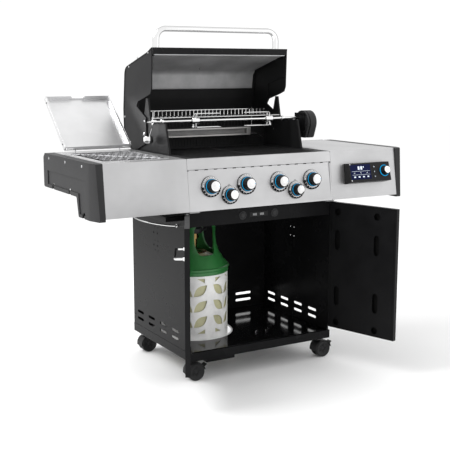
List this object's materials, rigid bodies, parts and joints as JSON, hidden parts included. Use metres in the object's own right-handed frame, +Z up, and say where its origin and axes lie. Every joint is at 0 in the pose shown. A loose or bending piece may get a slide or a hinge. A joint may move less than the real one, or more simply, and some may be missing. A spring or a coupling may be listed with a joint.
{
  "type": "gas barbecue",
  "caption": "Cabinet gas barbecue on casters with an open lid, side burner, rotisserie, temperature controller and a gas bottle inside its open doors.",
  "frame": {"origin": "centre of the bounding box's bottom face, on the floor, in the stored pose with the doors and lids open", "axes": "+X to the cook's right along the shelves, +Y from the cook towards the back, +Z up"},
  "size_m": [1.55, 1.0654, 1.505],
  "materials": {
    "black_steel": "fine black powder coat",
    "stainless": "brushed",
    "chrome": "bright plated",
    "cast_iron": "matt seasoned",
    "black_aluminium": "black heat-proof paint",
    "black_plastic": "fine-grained moulding",
    "tyre": "hard black tread",
    "bottle": "white shroud with a green collar"
  },
  "bodies": {
    "cart": {"cart_left_panel": "black_steel", "cart_right_panel": "black_steel", "cart_rear_panel": "black_steel", "cart_floor": "black_steel", "cart_header": "black_steel", "cylinder_tray": "black_steel", "firebox": "black_aluminium", "main_burners": "stainless", "rear_burner": "stainless", "heat_plates": "stainless", "cooking_grate_left": "cast_iron", "cooking_grate_right": "cast_iron", "warming_rack": "chrome", "gas_manifold": "stainless", "control_panel": "stainless", "left_shelf": "stainless", "left_end_cap": "black_plastic", "right_shelf": "stainless", "right_end_cap": "black_plastic", "controller_housing": "black_plastic", "side_burner": "stainless", "side_burner_grate": "chrome", "rotisserie_motor": "black_plastic", "motor_bracket": "black_steel", "tool_rail": "chrome", "gas_cylinder": "bottle"},
    "grease_tray": {"grease_tray": "stainless"},
    "door_left": {"door_left": "black_steel", "door_left_handle": "chrome"},
    "door_right": {"door_right": "black_steel", "door_right_handle": "chrome"},
    "lid": {"lid_shell": "stainless", "lid_liner": "stainless", "lid_end_left": "black_aluminium", "lid_end_right": "black_aluminium", "lid_handle": "chrome", "lid_thermometer": "chrome"},
    "side_burner_lid": {"side_burner_lid": "stainless"},
    "spit": {"spit_rod": "chrome", "spit_fork_left": "chrome", "spit_fork_right": "chrome", "spit_counterweight": "chrome"},
    "knob_main_1": {"knob_main_1": "black_plastic"},
    "knob_rear_burner": {"knob_rear_burner": "black_plastic"},
    "knob_main_2": {"knob_main_2": "black_plastic"},
    "knob_main_3": {"knob_main_3": "black_plastic"},
    "knob_side_burner": {"knob_side_burner": "black_plastic"},
    "knob_main_4": {"knob_main_4": "black_plastic"},
    "controller_knob": {"controller_knob": "black_plastic"},
    "controller_button_1": {"controller_button_1": "black_plastic"},
    "controller_button_2": {"controller_button_2": "black_plastic"},
    "controller_button_3": {"controller_button_3": "black_plastic"},
    "caster_front_left": {"caster_front_left": "black_plastic"},
    "caster_wheel_front_left": {"caster_wheel_front_left": "tyre"},
    "caster_front_right": {"caster_front_right": "black_plastic"},
    "caster_wheel_front_right": {"caster_wheel_front_right": "tyre"},
    "caster_rear_left": {"caster_rear_left": "black_plastic"},
    "caster_wheel_rear_left": {"caster_wheel_rear_left": "tyre"},
    "caster_rear_right": {"caster_rear_right": "black_plastic"},
    "caster_wheel_rear_right": {"caster_wheel_rear_right": "tyre"}
  },
  "joints": [
    {"name": "lid_hinge", "type": "hinge", "parent": "cart", "child": "lid", "pos_m": [0, 0.2429, 1.033], "axis": [1, 0, 0], "range_deg": [0, 88]},
    {"name": "side_burner_lid_hinge", "type": "hinge", "parent": "cart", "child": "side_burner_lid", "pos_m": [-0.556, 0.2849, 0.9745], "axis": [1, 0, 0], "range_deg": [0, 138.7]},
    {"name": "door_left_hinge", "type": "hinge", "parent": "cart", "child": "door_left", "pos_m": [-0.3565, -0.1961, 0.4415], "axis": [0, 0, 1], "range_deg": [0, 117.7]},
    {"name": "door_right_hinge", "type": "hinge", "parent": "cart", "child": "door_right", "pos_m": [0.3565, -0.1961, 0.4415], "axis": [0, 0, -1], "range_deg": [0, 107]},
    {"name": "grease_tray_slide", "type": "slide", "parent": "cart", "child": "grease_tray", "axis": [0, 1, 0], "range_m": [0, 0.25]},
    {"name": "spit_axis", "type": "hinge", "parent": "cart", "child": "spit", "pos_m": [0, 0.1129, 1.092], "axis": [1, 0, 0], "continuous": true},
    {"name": "knob_main_1_turn", "type": "hinge", "parent": "cart", "child": "knob_main_1", "pos_m": [-0.255, -0.20356, 0.83894], "axis": [0, -0.991, 0.1337], "range_deg": [0, 225]},
    {"name": "knob_rear_burner_turn", "type": "hinge", "parent": "cart", "child": "knob_rear_burner", "pos_m": [-0.167, -0.20896, 0.79894], "axis": [0, -0.991, 0.1337], "range_deg": [0, 225]},
    {"name": "knob_main_2_turn", "type": "hinge", "parent": "cart", "child": "knob_main_2", "pos_m": [-0.083, -0.20356, 0.83894], "axis": [0, -0.991, 0.1337], "range_deg": [0, 225]},
    {"name": "knob_main_3_turn", "type": "hinge", "parent": "cart", "child": "knob_main_3", "pos_m": [0.083, -0.20356, 0.83894], "axis": [0, -0.991, 0.1337], "range_deg": [0, 225]},
    {"name": "knob_side_burner_turn", "type": "hinge", "parent": "cart", "child": "knob_side_burner", "pos_m": [0.167, -0.20896, 0.79894], "axis": [0, -0.991, 0.1337], "range_deg": [0, 225]},
    {"name": "knob_main_4_turn", "type": "hinge", "parent": "cart", "child": "knob_main_4", "pos_m": [0.255, -0.20356, 0.83894], "axis": [0, -0.991, 0.1337], "range_deg": [0, 225]},
    {"name": "controller_knob_turn", "type": "hinge", "parent": "cart", "child": "controller_knob", "pos_m": [0.633, -0.23433, 0.86042], "axis": [0, -0.9582, 0.2861], "continuous": true},
    {"name": "controller_button_1_press", "type": "slide", "parent": "cart", "child": "controller_button_1", "axis": [0, 0.9582, -0.2861], "range_m": [0, 0.001], "stiffness_N_per_m": 400},
    {"name": "controller_button_2_press", "type": "slide", "parent": "cart", "child": "controller_button_2", "axis": [0, 0.9582, -0.2861], "range_m": [0, 0.001], "stiffness_N_per_m": 400},
    {"name": "controller_button_3_press", "type": "slide", "parent": "cart", "child": "controller_button_3", "axis": [0, 0.9582, -0.2861], "range_m": [0, 0.001], "stiffness_N_per_m": 400},
    {"name": "caster_front_left_swivel", "type": "hinge", "parent": "cart", "child": "caster_front_left", "pos_m": [-0.3325, -0.1511, 0.097], "axis": [0, 0, 1], "continuous": true},
    {"name": "caster_wheel_front_left_axle", "type": "hinge", "parent": "caster_front_left", "child": "caster_wheel_front_left", "pos_m": [-0.3145, -0.1511, 0.038], "axis": [0, 1, 0], "continuous": true},
    {"name": "caster_front_right_swivel", "type": "hinge", "parent": "cart", "child": "caster_front_right", "pos_m": [0.3325, -0.1511, 0.097], "axis": [0, 0, 1], "continuous": true},
    {"name": "caster_wheel_front_right_axle", "type": "hinge", "parent": "caster_front_right", "child": "caster_wheel_front_right", "pos_m": [0.3505, -0.1511, 0.038], "axis": [0, 1, 0], "continuous": true},
    {"name": "caster_rear_left_swivel", "type": "hinge", "parent": "cart", "child": "caster_rear_left", "pos_m": [-0.3325, 0.3209, 0.097], "axis": [0, 0, 1], "continuous": true},
    {"name": "caster_wheel_rear_left_axle", "type": "hinge", "parent": "caster_rear_left", "child": "caster_wheel_rear_left", "pos_m": [-0.3145, 0.3209, 0.038], "axis": [0, 1, 0], "continuous": true},
    {"name": "caster_rear_right_swivel", "type": "hinge", "parent": "cart", "child": "caster_rear_right", "pos_m": [0.3325, 0.3209, 0.097], "axis": [0, 0, 1], "continuous": true},
    {"name": "caster_wheel_rear_right_axle", "type": "hinge", "parent": "caster_rear_right", "child": "caster_wheel_rear_right", "pos_m": [0.3505, 0.3209, 0.038], "axis": [0, 1, 0], "continuous": true}
  ]
}
